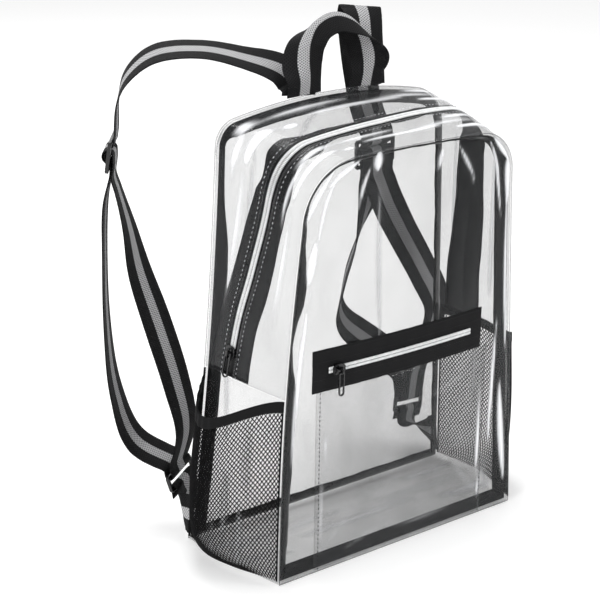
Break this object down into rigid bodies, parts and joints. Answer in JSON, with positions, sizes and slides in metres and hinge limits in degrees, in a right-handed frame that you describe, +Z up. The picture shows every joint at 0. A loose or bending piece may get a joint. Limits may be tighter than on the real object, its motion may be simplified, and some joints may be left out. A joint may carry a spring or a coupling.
{
  "type": "clear stadium backpack",
  "caption": "Clear vinyl backpack with black bound seams, an arched main zip, a zipped front pocket, net side pockets, a carrying loop and two adjustable webbing straps.",
  "frame": {"origin": "on the ground under the middle of the base, halfway between the front and the back seam", "axes": "+Z up, -Y towards the front panel, +X to the right as seen by someone facing the front panel"},
  "size_m": [0.3851, 0.2501, 0.4767],
  "materials": {
    "clear_vinyl": "clear gloss",
    "binding_tape": "ribbed tape",
    "zip_tape": "woven tape under clear vinyl",
    "zip_teeth": "satin coil",
    "black_metal": "gloss enamel",
    "net": "knitted net",
    "webbing": "ribbed webbing, black with a grey middle stripe",
    "black_plastic": "gloss moulded"
  },
  "bodies": {
    "bag": {"front_panel": "clear_vinyl", "back_panel": "clear_vinyl", "gusset_front_strip": "clear_vinyl", "gusset_back_strip": "clear_vinyl", "lower_gusset": "clear_vinyl", "front_binding": "binding_tape", "back_binding": "binding_tape", "main_zip_tape": "zip_tape", "main_zip_teeth": "zip_teeth", "main_slider": "black_metal", "pocket_panel": "clear_vinyl", "pocket_zip_tape": "zip_tape", "pocket_zip_teeth": "zip_teeth", "pocket_slider": "black_metal", "left_net_pocket": "net", "left_pocket_band": "binding_tape", "right_net_pocket": "net", "right_pocket_band": "binding_tape", "top_handle": "webbing", "left_strap": "webbing", "right_strap": "webbing", "left_slide": "black_plastic", "left_ring": "black_plastic", "left_lower_anchor": "webbing", "right_slide": "black_plastic", "right_ring": "black_plastic", "right_lower_anchor": "webbing"},
    "pocket_pull": {"pocket_pull": "black_metal"},
    "main_pull": {"main_pull": "black_metal"}
  },
  "joints": [
    {"name": "pocket_pull_hinge", "type": "hinge", "parent": "bag", "child": "pocket_pull", "pos_m": [-0.08289, -0.06521, 0.19291], "axis": [0.9984, -0.0561, 0], "range_deg": [-150, 0]},
    {"name": "main_pull_hinge", "type": "hinge", "parent": "bag", "child": "main_pull", "pos_m": [-0.14413, 0.01644, 0.19643], "axis": [-0.0817, 0.9858, 0.1466], "range_deg": [0, 170]}
  ]
}
